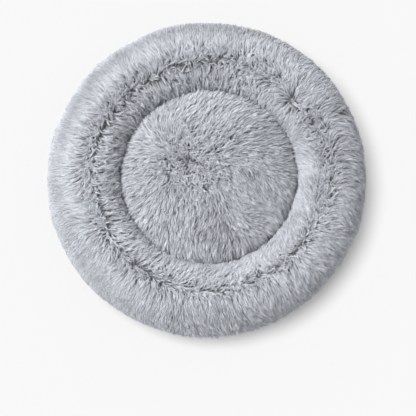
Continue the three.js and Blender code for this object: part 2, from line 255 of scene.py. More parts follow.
def shift_well(form):
    """Moves the inner side of a form by WELL_SHIFT, and its outer side not at all."""
    radius = np.hypot(form.points[..., 0], form.points[..., 1])
    share = smooth(-radius, -OUTER_RADIUS + 30 * MM, -WELL_RADIUS - 20 * MM)
    form.points = form.points + share[..., None] * WELL_SHIFT
    form.find_normals()


def rim_point(angle, inset=0.0):
    """The [radius, height] of a point of the rim's section, so far inside its surface."""
    turn = math.radians(angle)
    return np.array([
        RIM_RADIUS + (RIM_HALF_WIDTH - inset) * math.cos(turn),
        RIM_CENTRE + (RIM_HALF_HEIGHT - inset) * math.sin(turn),
    ])


def join_point(angle):
    """The point of the crest at a panel join."""
    drawn = math.degrees(PANEL_JOINS[angle][1] / RIM_HALF_HEIGHT)
    radius, height = rim_point(CREST_SEAM + drawn, PILE)
    turn = math.radians(angle)
    return np.array([radius * math.cos(turn), radius * math.sin(turn), height])


# The cloth is a little uneven: wavelength, seed and height of each set of waves.
RIM_WAVES = [(130 * MM, 1, 0.6 * MM), (45 * MM, 2, 0.35 * MM)]
CUSHION_WAVES = [(110 * MM, 3, 1.5 * MM), (40 * MM, 4, 0.6 * MM)]
SHOULDER_WAVES = (22 * MM, 5, 1.0 * MM)

SECTION_STEP = 4  # degrees between the points of the rim's section
PINCH_DEPTH = 4 * MM  # of the cloth where two panels join
PINCH_WIDTH = 13 * MM
WALL_BULGE = 2.5 * MM  # of the well's wall, over the cushion's edge
WALL_SECTION = 150
WALL_WIDTH = 15  # degrees of section
ZIP_HOLLOW = 6 * MM  # under the back, for the zip
ZIP_HOLLOW_WIDTH = 13  # degrees of section
SHOULDER_DROP = 41 * MM  # from the cushion's top to its widest place
DOME_POINTS = 40


def rim_form():
    """The rim's cloth, under the pile. It is flat where it stands on the base."""
    wide = RIM_HALF_WIDTH - PILE
    high = RIM_HALF_HEIGHT - PILE / 2
    profile = []
    for angle in range(0, 360, SECTION_STEP):
        turn = math.radians(angle)
        up = high - PILE / 2 if math.sin(turn) > 0 else high
        height = max(RIM_CENTRE + up * math.sin(turn), CLOTH_LOW)
        profile.append([RIM_RADIUS + wide * math.cos(turn), height])
    form = Form(profile, closed=True)
    shift_well(form)
    for wavelength, seed, height in RIM_WAVES:
        form.push(ripple(form.points, wavelength, seed) * height)
    for join, (strength, _) in PANEL_JOINS.items():
        away = np.linalg.norm(form.points - join_point(join), axis=2)
        form.push(-bump(away, PINCH_WIDTH) * PINCH_DEPTH * strength)
    form.push(WALL_BULGE * bump(section_angle(form.points) - WALL_SECTION, WALL_WIDTH))
    angle = np.degrees(np.arctan2(form.points[..., 1], form.points[..., 0])) % 360
    along_zip = zone(angle, ZIP_CENTRE, ZIP_REACH + 1, 3)
    off = around(section_angle(form.points), sum(ZIP_SECTION) / 2)
    form.push(-ZIP_HOLLOW * along_zip * bump(off, ZIP_HOLLOW_WIDTH))
    return form


def cushion_form():
    """The cushion's cloth, under the pile: a dome with round shoulders, down to the base."""
    edge = CUSHION_RADIUS - 4 * MM
    shoulder = CUSHION_TOP - SHOULDER_DROP
    rise = CUSHION_TOP - PILE - shoulder
    profile = []
    for share in np.sin(np.linspace(0, np.pi / 2, DOME_POINTS)):
        profile.append([edge * share, shoulder + rise * math.sqrt(max(0, 1 - share ** 2))])
    profile += [[edge - 2 * MM, CLOTH_LOW + 20 * MM], [edge - 20 * MM, CLOTH_LOW], [0, CLOTH_LOW]]
    form = Form(profile, closed=False)
    shift_well(form)
    inside = smooth(form.points[..., 2], shoulder, CUSHION_TOP)
    for wavelength, seed, height in CUSHION_WAVES:
        form.push(ripple(form.points, wavelength, seed) * height * inside)
    wavelength, seed, height = SHOULDER_WAVES
    by_shoulder = bump(form.points[..., 2] - shoulder, 9 * MM)
    form.push(ripple(form.points, wavelength, seed) * height * by_shoulder)
    return form


# ---- the cloth, stuffed ----

STUFFING_FRAMES = 20
STUFFING_PRESSURE = 4
SWELL = 3 * MM  # the most that the stuffing moves the cloth
STIFFNESS = 12
CREST_HOLD = 0.5  # how firmly the crest seam is held, from 0 to 1
CREST_HOLD_HALF = 4  # degrees of section on each side of the seam
STANDING = 8 * MM  # the rim is held where it is lower than this over the base


def stuff(form, seams):
    """Sews a form's cloth down at its seams, blows it up from within, and keeps the result.

    seams holds how firmly each point of the grid is held, from 0 to 1. It is the same every
    time: the cloth simulation has no random part."""
    obj = form_mesh(form, "cloth_to_stuff")
    mesh = obj.data
    grid = form.points.reshape(-1, 3)
    tree = KDTree(len(grid))
    for index, point in enumerate(grid):
        tree.insert(point, index)
    tree.balance()
    place = np.array([tree.find(vert.co)[1] for vert in mesh.vertices])
    held = obj.vertex_groups.new(name="seams")
    for vert, index in enumerate(place):
        held.add([vert], float(seams.reshape(-1)[index]), "REPLACE")
    cloth = obj.modifiers.new("stuffing", "CLOTH")
    settings = cloth.settings
    settings.quality = 4
    settings.mass = 0.3
    settings.tension_stiffness = STIFFNESS
    settings.compression_stiffness = STIFFNESS
    settings.bending_stiffness = 0.3
    settings.vertex_group_mass = "seams"
    settings.use_pressure = True
    settings.uniform_pressure_force = STUFFING_PRESSURE
    settings.effector_weights.gravity = 0
    cloth.collision_settings.use_collision = False
    cloth.point_cache.frame_end = STUFFING_FRAMES
    scene = bpy.context.scene
    for step in range(1, STUFFING_FRAMES + 1):
        scene.frame_set(step)
    result = obj.evaluated_get(bpy.context.evaluated_depsgraph_get()).data
    moved = np.empty(len(mesh.vertices) * 3)
    result.vertices.foreach_get("co", moved)
    scene.frame_set(1)
    shift = np.zeros_like(grid)
    shift[place] = moved.reshape(-1, 3) - grid[place]
    far = np.linalg.norm(shift, axis=1, keepdims=True)
    shift *= np.minimum(1, SWELL / np.maximum(far, 1e-9))
    form.points = form.points + shift.reshape(form.points.shape)
    if not form.closed:
        form.points[:, 0] = form.points[:, 0].mean(0)
        form.points[:, -1] = form.points[:, -1].mean(0)
    form.find_normals()
    bpy.data.objects.remove(obj)


# ---- pile ----

def domain_to_grid(form, polar, q):
    """Grid places of points of a form's own plane, in which a hair's run is measured."""
    if polar:
        return np.arctan2(q[..., 1], q[..., 0]), np.hypot(q[..., 0], q[..., 1]) / form.step
    return q[..., 0], q[..., 1] / form.step


class Comb:
    """How the tufts of one form lie: one entry in each array to a tuft."""

    def __init__(self, form, polar, q):
        self.form, self.polar, self.q = form, polar, q
        turn, row = domain_to_grid(form, polar, q)
        self.root = form.look(form.points, turn, row)
        self.normal = unit(form.look(form.normals, turn, row))
        self.angle = np.degrees(np.arctan2(self.root[:, 1], self.root[:, 0])) % 360
        count = len(q)
        self.heading = np.zeros(count)  # radians, in the domain: 0 is along its second axis
        self.lay = np.ones(count)  # 1 is combed flat, and 0 stands up
        self.length = np.ones(count)
        self.wild = np.zeros(count)  # 1 is a tuft that is bent and gathered on its own
        # tone: each tuft's own, with painted light and shade added in places
        self.tone = np.full(count, 0.5)
        self.contrast = np.ones(count)  # how much the locks differ in height and tone
        self.height = np.ones(count)  # how thick the pile lies

    def kept(self, keep):
        return Comb(self.form, self.polar, self.q[keep])

    def run(self, q, heading, distance):
        """Domain points at a distance from q in a heading."""
        if self.polar:
            step = np.stack([np.sin(heading), np.cos(heading)], axis=-1)
            return q + step * distance[..., None]
        radius = np.hypot(self.root[:, 0], self.root[:, 1]).reshape(-1, *[1] * (distance.ndim - 1))
        turn = q[..., 0] + np.sin(heading) * distance / radius
        return np.stack([turn, q[..., 1] + np.cos(heading) * distance], axis=-1)

    def find_locks(self, chance):
        """The tuft in the middle of each tuft's lock, and the way to it in the domain."""
        count = len(self.q)
        middles = chance.choice(count, round(count * (TUFT_SPACING / LOCK_SPACING) ** 2), False)
        tree = KDTree(len(middles))
        for index in middles:
            tree.insert(self.root[index], index)
        tree.balance()
        lock = np.array([tree.find(point)[1] for point in self.root])
        way = self.q[lock] - self.q
        if not self.polar:
            way[:, 0] = (way[:, 0] + np.pi) % (2 * np.pi) - np.pi
        return lock, way

    def bow(self, reach, chance):
        """How far along and how high each hair is, at the parts of its length in reach."""
        uneven = chance.normal(0, 0.06, (len(self.q), TUFT_HAIRS, 1))
        lay = np.clip(self.lay[:, None, None] + uneven, 0, 1)
        length = (HAIR * self.length)[:, None, None]
        flat_run = 0.95 * reach
        flat_rise = 0.33 * (1 - (1 - np.minimum(reach, 1)) ** 2)
        up_run = 0.5 * reach ** 1.5
        up_rise = 0.55 * reach * (1.15 - 0.2 * reach)
        run = length * (lay * flat_run + (1 - lay) * up_run)
        rise = length * (lay * flat_rise + (1 - lay) * up_rise)
        return run, rise

    def starts(self, reach, way, chance):
        """Domain points: each hair starts off its tuft's middle, and its tip closes on its lock."""
        each = (len(self.q), TUFT_HAIRS, 1)
        closing = np.minimum(reach, 1) ** 1.2
        spin = chance.uniform(0, 2 * np.pi, each)
        off = TUFT_RADIUS * np.sqrt(chance.uniform(0, 1, each)) * (1 - 0.8 * closing)
        q = self.run(self.q[:, None, None, :], spin, off)
        gather = (0.3 * self.contrast + 0.5 * self.wild)[:, None, None] * closing
        return q + way[:, None, None, :] * gather[..., None]

    def tones(self, lock, chance):
        """The tone of each hair of each tuft."""
        count = len(self.q)
        by_lock = LOCK_TONES * chance.normal(0, 1, count)[lock]
        shade = by_lock + TUFT_TONES * chance.normal(0, 1, count)
        own = self.tone + self.contrast * shade
        return np.clip(own[:, None] + chance.normal(0, HAIR_TONES, (count, TUFT_HAIRS)), 0.02, 0.98)

    def hairs(self, chance):
        """Centre lines (n, HAIR_POINTS, 3), facings like them, and each hair's tone."""
        count = len(self.q)
        each = (count, TUFT_HAIRS, 1)
        lock, way = self.find_locks(chance)
        turned = (self.heading[lock] - self.heading + np.pi) % (2 * np.pi) - np.pi
        combed = (self.heading + turned * (0.6 + 0.3 * self.wild))[:, None, None]
        # Some locks lie on top of the others, and show their whole length.
        uneven = chance.uniform(-0.24, 0.26, count)[lock] + chance.uniform(-0.34, 0.38, count)
        lift = self.height * (1 + self.contrast * uneven)
        bend = (chance.normal(0, 0.8, count)[lock] * self.wild)[:, None, None]
        reach = chance.uniform(0.75, 1.06, each) * np.linspace(0, 1, HAIR_POINTS)
        run, rise = self.bow(reach, chance)
        rise = rise * chance.uniform(0.9, 1.1, each) * lift[:, None, None]
        curl = chance.normal(0, 0.08, each) + bend
        heading = combed + chance.normal(0, 0.05, each) + curl * reach
        q = self.run(self.starts(reach, way, chance), heading, run)
        turn, row = domain_to_grid(self.form, self.polar, q)
        ground = self.form.look(self.form.points, turn, row)
        normal = unit(self.form.look(self.form.normals, turn, row))
        line = ground + normal * rise[..., None]
        line[..., 2] = np.maximum(line[..., 2], ABOVE_FLOOR)
        shape = (count * TUFT_HAIRS, HAIR_POINTS, 3)
        return line.reshape(shape), normal.reshape(shape), self.tones(lock, chance).reshape(-1)


def hair_mesh(name, line, normal, tone, chance):
    """One mesh of tapered ribbons. Their UVs hold how far along (u) and which tone (v)."""
    count, points = line.shape[:2]
    along = unit(np.gradient(line, axis=1))
    flat = unit(np.cross(along, normal))
    roll = chance.normal(0, 0.7, (count, 1, 1))
    side = flat * np.cos(roll) + np.cross(along, flat) * np.sin(roll)
    t = np.linspace(0, 1, points)
    width = HAIR_WIDTH / 2 * (0.75 + 0.5 * t) * (1 - t ** 3)
    shift = side * width[:, None] * chance.uniform(0.7, 1.3, (count, 1, 1))
    pairs = np.stack([line - shift, line + shift], axis=2)[:, :-1].reshape(count, -1, 3)
    verts = np.concatenate([pairs, line[:, -1:]], axis=1)
    per_hair = verts.shape[1]
    pattern, starts = [], []
    for k in range(points - 2):
        starts.append(len(pattern))
        pattern += [2 * k, 2 * k + 1, 2 * k + 3, 2 * k + 2]
    starts.append(len(pattern))
    pattern += [per_hair - 3, per_hair - 2, per_hair - 1]
    pattern, starts = np.array(pattern), np.array(starts)
    loops = (np.arange(count)[:, None] * per_hair + pattern).reshape(-1)
    loop_starts = (np.arange(count)[:, None] * len(pattern) + starts).reshape(-1)
    mesh = bpy.data.meshes.new(name)
    mesh.vertices.add(count * per_hair)
    mesh.vertices.foreach_set("co", verts.astype(np.float32).reshape(-1))
    mesh.loops.add(len(loops))
    mesh.loops.foreach_set("vertex_index", loops.astype(np.int32))
    mesh.polygons.add(len(loop_starts))
    mesh.polygons.foreach_set("loop_start", loop_starts.astype(np.int32))
    mesh.polygons.foreach_set("use_smooth", np.ones(len(loop_starts), bool))
    mesh.update(calc_edges=True)
    vert_u = np.append(np.repeat(t[:-1], 2), t[-1])[pattern]
    side_v = np.append(np.tile([-1.0, 1.0], points - 1), 0)[pattern] * RIBBON_UV
    uv = np.stack([np.broadcast_to(vert_u, (count, len(pattern))), tone[:, None] + side_v], axis=2)
    layer = mesh.uv_layers.new(name="OFBake")
    layer.data.foreach_set("uv", uv.astype(np.float32).reshape(-1))
    obj = bpy.data.objects.new(name, mesh)
    bpy.context.scene.collection.objects.link(obj)
    return obj


def plant(comb, node, material, chance):
    """Turns a comb's tufts into the meshes that stand for a CAD panel."""
    line, normal, tone = comb.hairs(chance)
    order = np.argsort(np.arctan2(line[:, 0, 1], line[:, 0, 0]))
    count = max(1, math.ceil(len(order) / PIECE_HAIRS))
    for number, chosen in enumerate(np.array_split(order, count), 1):
        name = f"{node}_pile_{number}"
        piece = hair_mesh(name, line[chosen], normal[chosen], tone[chosen], chance)
        piece.data.materials.append(material)
        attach(piece, "bed")
        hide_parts(node)


def scatter(form, low, high, chance):
    """Domain points between two places along a form's rows: a jittered grid, even by area."""
    rows = form.points.shape[1]
    ring = np.hypot(form.points[..., 0], form.points[..., 1]).mean(0)
    found = []
    for run in np.arange(low, high, TUFT_SPACING):
        radius = np.interp(run / form.step, np.arange(rows), ring, period=rows)
        count = max(3, round(2 * np.pi * radius / TUFT_SPACING))
        turn = (np.arange(count) + chance.uniform(0, 0.9, count)) * 2 * np.pi / count
        along = run + chance.uniform(-0.45, 0.45, count) * TUFT_SPACING
        found.append(np.stack([turn + chance.uniform(0, 2 * np.pi), along], axis=1))
    return np.concatenate(found)


def towards(comb, side):
    """The headings that fall away from the crest, spread out round the panel joins."""
    turn = np.radians(comb.angle)
    across = np.stack([-np.sin(turn), np.cos(turn), 0 * turn], axis=1)
    inward = unit(np.cross(comb.normal, across))  # along increasing rows
    aim = np.stack([0 * turn, np.full(len(turn), -side)], axis=1).astype(float)
    near_any = np.zeros(len(turn))
    for join, (strength, _) in PANEL_JOINS.items():
        away = comb.root - join_point(join)
        near = strength * bump(np.linalg.norm(away, axis=1), JOIN_SPREAD)
        spread = np.stack([(away * across).sum(1), (away * inward).sum(1)], axis=1)
        aim = aim * (1 - near[:, None]) + unit(spread) * near[:, None]
        near_any = np.maximum(near_any, near)
    return np.arctan2(aim[:, 0], aim[:, 1]), near_any


# Stretches of the rim: the centre, half and fade of a zone.
OUTER_CALM = (165, 70, 40)  # where the outside lies smooth
INNER_CALM = (330, 55, 40)  # where the well's wall lies smooth
ROUGH_BACK = (115, 50, 30)
LEFT_CREST = (193, 22, 16)  # where the crest stands up, with painted light on it

# Where the pile is swept sideways: how far, in radians, and a zone.
OUTER_STROKES = [(0.35, 5, 12, 15), (-0.3, 283, 12, 18)]
INNER_STROKES = [(0.9, 315, 35, 40), (-0.7, 182, 12, 22)]
CUSHION_STROKES = [(0.6, 95, 35, 45), (-0.35, 205, 20, 30), (0.4, 322, 22, 25)]

# Painted light and shade on each side of the crest, paler where light falls and darker where shade
# falls: how much, where round the bed (a zone), and how far down from the crest (place, width), all in
# degrees.
OUTER_PAINTED_LIGHT_AND_SHADE = [
    (0.25, 150, 60, 35, 12, 13),
    (-0.36, 116, 30, 30, 42, 13),
    (-0.2, 145, 12, 20, 38, 10),
    (-0.12, 175, 14, 15, 38, 12),
    (-0.12, 210, 12, 15, 25, 15),
    (0.3, 160, 45, 30, 82, 15),
    (0.2, 88, 30, 20, 85, 12),
    (0.25, 250, 25, 20, 82, 15),
    (-0.08, 275, 12, 20, 40, 25),
    (0.06, 317, 12, 15, 40, 25),
    (-0.15, 355, 25, 20, 22, 14),
    (0.3, 60, 8, 12, 10, 17),
    (0.1, 242, 10, 12, 15, 15),
]
INNER_PAINTED_LIGHT_AND_SHADE = [
    (-0.1, 355, 40, 35, 35, 80),
    (0.06, 115, 60, 30, 35, 80),
    (0.1, 268, 15, 20, 35, 80),
    (0.2, 300, 10, 14, 12, 14),
    (0.12, 240, 12, 14, 12, 12),
    (0.18, 60, 8, 12, 20, 20),
    (-0.14, 100, 8, 14, 12, 10),
    (-0.14, 160, 8, 10, 15, 12),
]


def crest_shift(angle):
    """How far into the well the pile parts, past the crest seam."""
    shift = 7 * MM * zone(angle, 150, 60, 30) + 6 * MM * zone(angle, 130, 14, 24)
    for join, (_, drawn) in PANEL_JOINS.items():
        shift = shift + drawn * bump(around(angle, join), 5)
    return shift


def strokes(angle, rows):
    """How far the pile is swept sideways at an angle."""
    return sum(share * zone(angle, centre, half, fade) for share, centre, half, fade in rows)


def rim_tufts(form, side, angles, chance):
    """The tufts on one side of the parting and between two angles, before they are combed."""
    section = section_angle(form.points).mean(0)
    crest = int(np.argmin(np.abs(section - CREST_SEAM))) * form.step
    # Rows run up the outside, over the crest and down the inside.
    if side > 0:
        q = scatter(form, crest - OUTER_RUN, crest + 5 * RAGGED, chance)
    else:
        q = scatter(form, crest - 2 * RAGGED, crest + INNER_RUN, chance)
    comb = Comb(form, False, q)
    low, high = angles
    keep = np.mod(comb.angle - low, 360) < np.mod(high - low, 360)
    ragged = 0.6 * ripple(comb.root, 28 * MM, 17) + chance.normal(0, 0.5, len(q))
    parting = crest + RAGGED * ragged + crest_shift(comb.angle)
    keep &= (q[:, 1] - parting) * side < 0
    if side > 0:
        # The pile ends at the base seam and beside the zip, and is thinner underneath.
        under = around(section_angle(comb.root), 0)
        by_zip = zone(comb.angle, ZIP_CENTRE, ZIP_REACH, 0.6) > 0.5
        keep &= (under > BASE_SEAM) & ~(by_zip & (under < ZIP_SECTION[1] + 3))
        keep &= (under > -25) | (chance.uniform(0, 1, len(q)) < 0.6)
    return comb.kept(keep)


def rim_roughness(comb, side, past_crest):
    """How wild the rim's tufts are. past_crest is in degrees of section, from the crest.

    The crest is rough all round, most at the back and the right, and least at the left. The wall
    of the well is rough at the back and the left."""
    angle = comb.angle
    patch = ripple(comb.root, 30 * MM, 11)
    ragged = past_crest + 3 * ripple(comb.root, 22 * MM, 16)
    strength = 0.35 + 0.5 * zone(angle, *ROUGH_BACK) + 0.5 * zone(angle, 12, 24, 10)
    strength = strength * (1 - 0.75 * zone(angle, 195, 24, 22))
    crest = bump(ragged, 9) * strength * smooth(patch, -1.8, 0.2)
    if side > 0:
        return crest
    wall = (0.72 - 0.25 * zone(angle, 190, 35, 20)) * zone(angle, 155, 85, 25)
    wall = wall * smooth(patch, -1.5, 0.5) * smooth(-past_crest, -52, -34)
    return np.maximum(crest, wall)


def rim_lay(comb, side, past_crest, calm):
    """How flat the rim's tufts lie: least on the crest and where they are wild."""
    settled = zone(comb.angle, *(OUTER_CALM if side > 0 else INNER_CALM))
    left = zone(comb.angle, *LEFT_CREST)
    upright = 0.5 * comb.wild + 0.4 * bump(past_crest, 5) * calm + 0.25 * left * bump(past_crest, 9)
    return np.clip(0.87 + 0.1 * settled - upright, 0.1, 1)


def rim_heading(comb, side, past_crest, fall, calm, chance):
    """Which way the rim's tufts lie: down from the crest, with waves, swirls and strokes."""
    count = len(comb.q)
    waver = ripple(comb.root, 80 * MM, 12) * 0.22 + ripple(comb.root, 17 * MM, 13) * 0.13
    # Along the crest both sides are swept the same way, so that the parting doesn't gape.
    sweep = bump(past_crest, 9) * (0.7 + 0.5 * ripple(comb.root, 120 * MM, 19))
    settled = zone(comb.angle, *OUTER_CALM) * smooth(past_crest, 12, 35)
    waver = (waver - side * sweep) * (1 - 0.5 * settled)
    swirl = ripple(comb.root, 13 * MM, 18) * 0.9 + chance.normal(0, 0.6, count)
    crossing = bump(past_crest, 5) * chance.normal(0, 1.2, count) * calm
    heading = fall + crossing + chance.normal(0, 0.07, count) + waver * calm + swirl * comb.wild
    if side > 0:
        return heading + strokes(comb.angle, OUTER_STROKES) * calm * smooth(past_crest, 8, 25)
    return heading + strokes(comb.angle, INNER_STROKES) * calm * smooth(past_crest, 3, 14)


def rim_tone(comb, side, past_crest, chance):
    """How pale the rim's tufts are, before the crease and the joins: a random tone, with painted light
    and shade in zones round the bed.
    """
    tone = 0.58 + 0.06 * chance.normal(0, 1, len(comb.q)) + 0.05 * ripple(comb.root, 50 * MM, 15)
    for share, centre, half, fade, place, width in OUTER_PAINTED_LIGHT_AND_SHADE if side > 0 else INNER_PAINTED_LIGHT_AND_SHADE:
        tone = tone + share * (zone(comb.angle, centre, half, fade) * bump(past_crest - place, width))
    return tone


def finish_outside(comb, past_crest):
    """Calms the outside where it lies smooth, and shortens it towards the base and by the zip."""
    soft = zone(comb.angle, *OUTER_CALM) * smooth(past_crest, 8, 30)
    calmer = 0.5 * smooth(past_crest, 30, 65) * (1 - zone(comb.angle, 262, 22, 18))
    comb.contrast = 1 - np.maximum(0.88 * soft, calmer)
    comb.wild = comb.wild * (1 - 0.4 * zone(comb.angle, 150, 60, 35))
    under = around(section_angle(comb.root), 0)
    short = 0.5 * smooth(-under, 35, 62)
    by_zip = zone(comb.angle, ZIP_CENTRE, ZIP_REACH + 3, 4) * smooth(-under, 22, 38)
    comb.length = comb.length * (1 - np.maximum(short, 0.5 * by_zip))
    comb.height = 1 - 0.5 * np.maximum(short, by_zip)


def finish_wall(comb, past_crest):
    """Calms the well's wall where it lies smooth, and flattens it by the crease, with painted shade
    there.
    """
    settled = zone(comb.angle, *INNER_CALM) * smooth(past_crest, 5, 20)
    comb.contrast = 1 - 0.6 * settled + 0.15 * zone(comb.angle, *ROUGH_BACK)
    by_crease = smooth(past_crest + 2 * ripple(comb.root, 15 * MM, 27), 36, 52)
    comb.length = comb.length * (1 - 0.35 * by_crease)
    comb.height = 1 - 0.3 * by_crease
    comb.lay = comb.lay + (1 - comb.lay) * by_crease
    # Painted shade, deepest in the crease.
    comb.tone = comb.tone - 0.5 * by_crease ** 3


def fold_pile(comb, past_crest):
    """Parts the pile along the short fold, with painted shade in it."""
    beside = around(comb.angle, FOLD_ANGLE)
    fold = bump(past_crest - FOLD_PLACE, 11)
    comb.heading = comb.heading - 0.5 * np.sign(beside) * fold * bump(beside, 3)
    # Painted shade along the fold.
    comb.tone = comb.tone - 0.4 * fold * bump(beside, 0.8)


def comb_rim(form, side, angles, chance):
    """The rim's tufts on one side of the crest: 1 is outside and -1 is in the well."""
    comb = rim_tufts(form, side, angles, chance)
    parting_at = CREST_SEAM + np.degrees(crest_shift(comb.angle) / RIM_HALF_HEIGHT)
    past_crest = np.abs(around(section_angle(comb.root), parting_at))
    fall, near_join = towards(comb, side)
    calm = 1 - near_join
    comb.wild = rim_roughness(comb, side, past_crest) * calm
    comb.lay = rim_lay(comb, side, past_crest, calm)
    comb.heading = rim_heading(comb, side, past_crest, fall, calm, chance)
    comb.length = 0.95 + 0.12 * chance.uniform(-1, 1, len(comb.q)) - 0.15 * comb.wild
    comb.tone = rim_tone(comb, side, past_crest, chance)
    if side > 0:
        finish_outside(comb, past_crest)
    else:
        finish_wall(comb, past_crest)
    comb.contrast = comb.contrast * (1 - 0.6 * near_join)
    # Painted light on the crest at the left.
    comb.tone = comb.tone + 0.3 * zone(comb.angle, *LEFT_CREST) * bump(past_crest, 14)
    # Painted light: paler round the panel joins, against the shade of the pinch.
    comb.tone = comb.tone + 0.12 * near_join
    if side > 0:
        fold_pile(comb, past_crest)
    return comb


def comb_cushion(form, chance):
    """The cushion's tufts spread from a whorl, where they stand in all directions."""
    height = form.points[0, :, 2]
    reach = int(np.argmax(height < CUSHION_TOP - CUSHION_DROP)) * form.step
    edge = int(np.argmax(height < CREASE_HEIGHT)) * form.step
    q = scatter(form, 0, reach, chance)
    turn, run = q[:, 0], q[:, 1]
    flat = np.stack([run * np.cos(turn), run * np.sin(turn)], axis=1)
    comb = Comb(form, True, flat)
    count = len(flat)
    away = flat - WHORL
    distance = np.linalg.norm(away, axis=1) + 10 * MM * ripple(comb.root, 36 * MM, 21)
    comb.wild = 0.88 * smooth(-distance, -WHORL_END, -WHORL_WILD)
    comb.lay = np.clip(0.84 - 0.5 * comb.wild, 0.15, 1)
    comb.contrast = 1.25 - 0.45 * comb.wild
    waver = ripple(comb.root, 90 * MM, 22) * 0.25 + ripple(comb.root, 17 * MM, 23) * 0.13
    swirl = ripple(comb.root, 13 * MM, 26) * 0.75 + chance.normal(0, 0.6, count)
    outward = np.arctan2(away[:, 0], away[:, 1])
    # It is swept aside towards the back, the left and the front right.
    way = np.degrees(np.arctan2(away[:, 1], away[:, 0]))
    outward = outward + strokes(way, CUSHION_STROKES)
    comb.heading = outward + waver + chance.normal(0, 0.07, count) + swirl * comb.wild
    comb.length = 0.88 + 0.12 * chance.uniform(-1, 1, count) - 0.1 * comb.wild
    comb.tone = 0.7 + 0.06 * chance.normal(0, 1, count) + 0.04 * ripple(comb.root, 50 * MM, 25)
    # Painted light: paler towards the left and the back, where the light falls.
    beyond = smooth(distance, 45 * MM, 90 * MM)
    comb.tone = comb.tone + (0.14 * zone(way, 185, 20, 25) + 0.14 * zone(way, 80, 25, 30)) * beyond
    by_edge = smooth(run + 2 * MM * ripple(comb.root, 15 * MM, 28), edge - 32 * MM, edge - 4 * MM)
    comb.length = comb.length * (1 - 0.35 * by_edge)
    comb.height = 1 - 0.35 * by_edge
    # Painted shade in the crease round the cushion's edge.
    comb.tone = comb.tone - 0.6 * smooth(run, edge - 8 * MM, edge + 1 * MM)
    # Painted shade: darker towards the front right, away from the light, and among the wild tufts of
    # the whorl.
    comb.tone = comb.tone - 0.42 * smooth(flat @ CUSHION_SHADE_WAY, -50 * MM, 85 * MM) - 0.16 * comb.wild
    return comb


# ---- materials ----

def new_material(name, roughness, metallic=0.0, specular=0.5):
    material = bpy.data.materials.new(name)
    material.use_nodes = True
    shader = material.node_tree.nodes["Principled BSDF"]
    shader.inputs["Roughness"].default_value = roughness
    shader.inputs["Metallic"].default_value = metallic
    shader.inputs["Specular IOR Level"].default_value = specular
    return material, shader


def ramp(material, stops):
    node = material.node_tree.nodes.new("ShaderNodeValToRGB")
    elements = node.color_ramp.elements
    for position, colour in stops[1:-1]:
        elements.new(position)
    for element, (position, colour) in zip(elements, stops):
        element.position = position
        element.color = (*colour, 1)
    return node


PLUSH = np.array([0.74, 0.762, 0.805])


def plush_material():
    """Dark at the root and pale at the tip, partly the darker undercoat and partly painted shade deep
    in the pile, with a tone of its own to each hair, which also carries painted light and shade.
    """
    material, shader = new_material("plush_pile", 0.85, specular=0.15)
    nodes, links = material.node_tree.nodes, material.node_tree.links
    place = nodes.new("ShaderNodeUVMap")
    place.uv_map = "OFBake"
    parts = nodes.new("ShaderNodeSeparateXYZ")
    links.new(place.outputs["UV"], parts.inputs[0])
    # Dark roots: the darker undercoat, and painted shade deep in the pile.
    stops = [(0.0, 0.24), (0.3, 0.55), (0.6, 0.93), (1.0, 1.13)]
    along = ramp(material, [(at, tuple(np.minimum(PLUSH * share, 1))) for at, share in stops])
    links.new(parts.outputs["X"], along.inputs["Fac"])
    tone = ramp(material, [(0.0, (0.5, 0.5, 0.51)), (1.0, (1.0, 1.0, 1.0))])
    links.new(parts.outputs["Y"], tone.inputs["Fac"])
    both = nodes.new("ShaderNodeMix")
    both.data_type = "RGBA"
    both.blend_type = "MULTIPLY"
    both.inputs["Factor"].default_value = 1.0
    links.new(along.outputs["Color"], both.inputs["A"])
    links.new(tone.outputs["Color"], both.inputs["B"])
    links.new(both.outputs["Result"], shader.inputs["Base Color"])
    return material


def noise(material, scale, detail):
    """A fine noise over the object. scale is in waves to a metre."""
    nodes = material.node_tree.nodes
    place = nodes.new("ShaderNodeTexCoord")
    node = nodes.new("ShaderNodeTexNoise")
    node.inputs["Scale"].default_value = scale
    node.inputs["Detail"].default_value = detail
    material.node_tree.links.new(place.outputs["Object"], node.inputs["Vector"])
    return node.outputs["Fac"]


def paint(material, shader, share, stops):
    """Colours a surface by a value that runs from 0 to 1."""
    links = material.node_tree.links
    colours = ramp(material, stops)
    links.new(share, colours.inputs["Fac"])
    links.new(colours.outputs["Color"], shader.inputs["Base Color"])


def emboss(material, shader, height, strength, depth):
    """A relief from a height that runs from 0 to 1."""
    links = material.node_tree.links
    relief = material.node_tree.nodes.new("ShaderNodeBump")
    relief.inputs["Strength"].default_value = strength
    relief.inputs["Distance"].default_value = depth
    links.new(height, relief.inputs["Height"])
    links.new(relief.outputs["Normal"], shader.inputs["Normal"])


def cloth_material(name, dark, light, scale):
    """Felted cloth: two tones of a fine noise, and a fine relief."""
    material, shader = new_material(name, 0.85, specular=0.2)
    fuzz = noise(material, scale, 5)
    paint(material, shader, fuzz, [(0.35, dark), (0.65, light)])
    emboss(material, shader, fuzz, 0.4, 0.3 * MM)
    return material


def math_node(material, operation, first, second=None):
    node = material.node_tree.nodes.new("ShaderNodeMath")
    node.operation = operation
    for place, value in enumerate((first, second)):
        if isinstance(value, (int, float)):
            node.inputs[place].default_value = value
        elif value is not None:
            material.node_tree.links.new(value, node.inputs[place])
    return node.outputs[0]


def finish_weave(material, shader, height, dark, light, depth):
    """Colours a cloth darker between its threads, as painted shade, and paler on them, with their
    relief and some wear.
    """
    # Painted shade between the threads.
    shade = math_node(material, "MULTIPLY", height, 0.75)
    wear = math_node(material, "MULTIPLY", noise(material, 60, 6), 0.3)
    paint(material, shader, math_node(material, "ADD", shade, wear), [(0.1, dark), (1.0, light)])
    emboss(material, shader, height, 0.8, depth)


